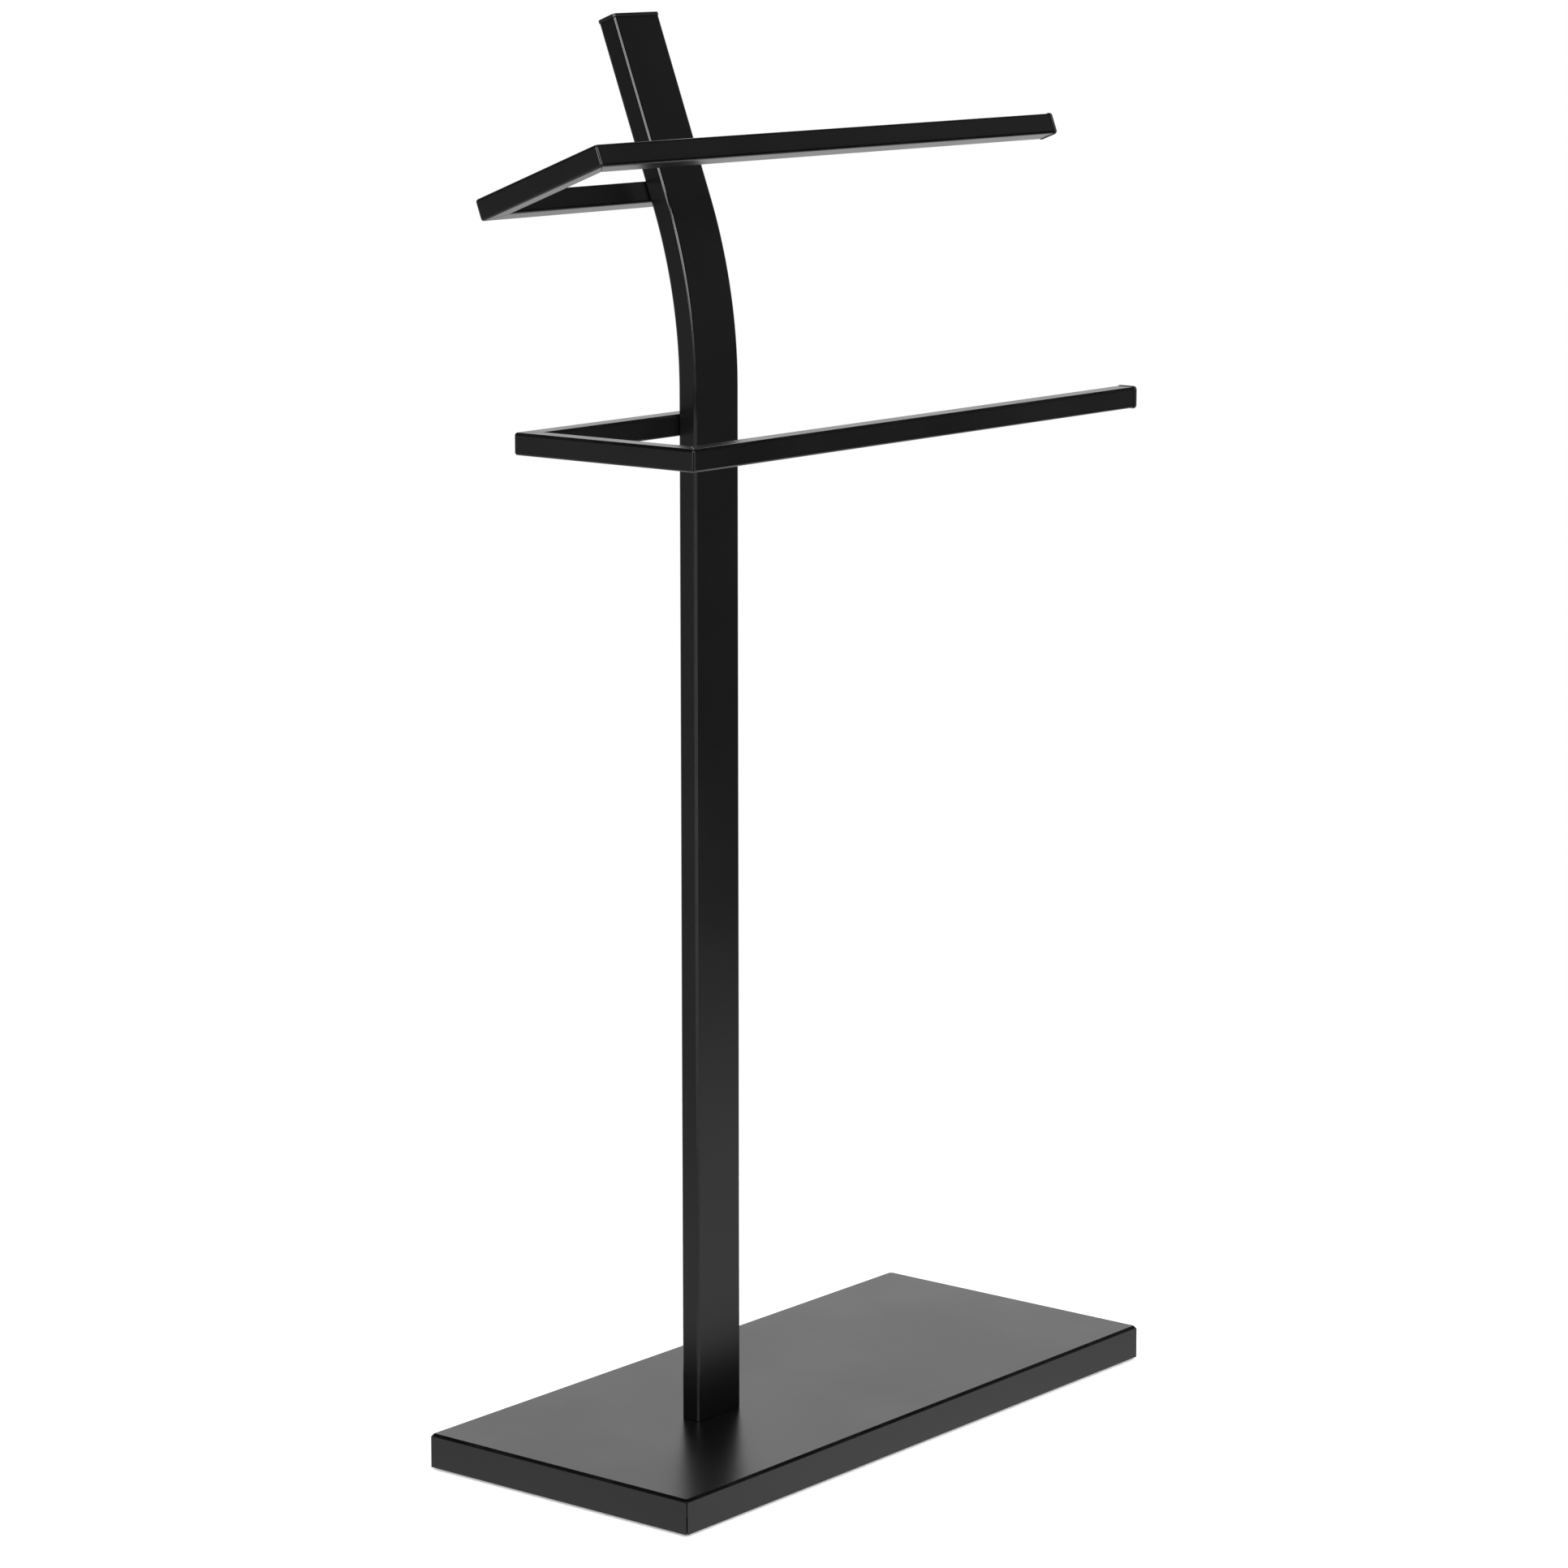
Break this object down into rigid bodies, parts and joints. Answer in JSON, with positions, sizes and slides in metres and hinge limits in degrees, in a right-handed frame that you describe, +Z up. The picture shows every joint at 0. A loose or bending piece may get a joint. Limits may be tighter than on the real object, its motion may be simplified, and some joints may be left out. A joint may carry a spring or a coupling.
{
  "type": "freestanding towel stand",
  "caption": "Low weighted rectangular base with a flat upright that leans back near its top and carries long square towel rails at different heights.",
  "frame": {"origin": "middle of the base, on the floor", "axes": "+X along the base, to the right seen from the front; +Y towards the back, the way the top leans; +Z up"},
  "size_m": [0.4655, 0.2177, 0.861],
  "materials": {
    "black_powder_coat": "satin black powder coat",
    "black_plastic": "black moulded polyethylene, fine grain",
    "black_rubber": "matt dark rubber",
    "cast_concrete": "cast concrete",
    "zinc_plated_steel": "bright zinc plate",
    "black_screws": "black oxide"
  },
  "bodies": {
    "root": {"base_cover": "black_powder_coat", "base_ballast": "cast_concrete", "base_underside_panel": "black_powder_coat", "base_mounting_plate": "zinc_plated_steel", "post": "black_powder_coat", "post_top_cap": "black_plastic", "post_foot_block": "zinc_plated_steel", "post_bolts": "zinc_plated_steel", "foot_pad_centre": "black_rubber", "foot_pad_front_left": "black_rubber", "foot_pad_front_right": "black_rubber", "foot_pad_rear_left": "black_rubber", "foot_pad_rear_right": "black_rubber", "lower_rear_rail": "black_powder_coat", "lower_side_rail": "black_powder_coat", "lower_front_rail": "black_powder_coat", "lower_front_rail_cap": "black_plastic", "lower_rear_rail_cap": "black_plastic", "lower_arm_screws": "black_screws", "lower_arm_weld_nuts": "zinc_plated_steel", "upper_rear_rail": "black_powder_coat", "upper_side_rail": "black_powder_coat", "upper_front_rail": "black_powder_coat", "upper_front_rail_cap": "black_plastic", "upper_rear_rail_cap": "black_plastic", "upper_arm_screws": "black_screws", "upper_arm_weld_nuts": "zinc_plated_steel"}
  },
  "joints": []
}
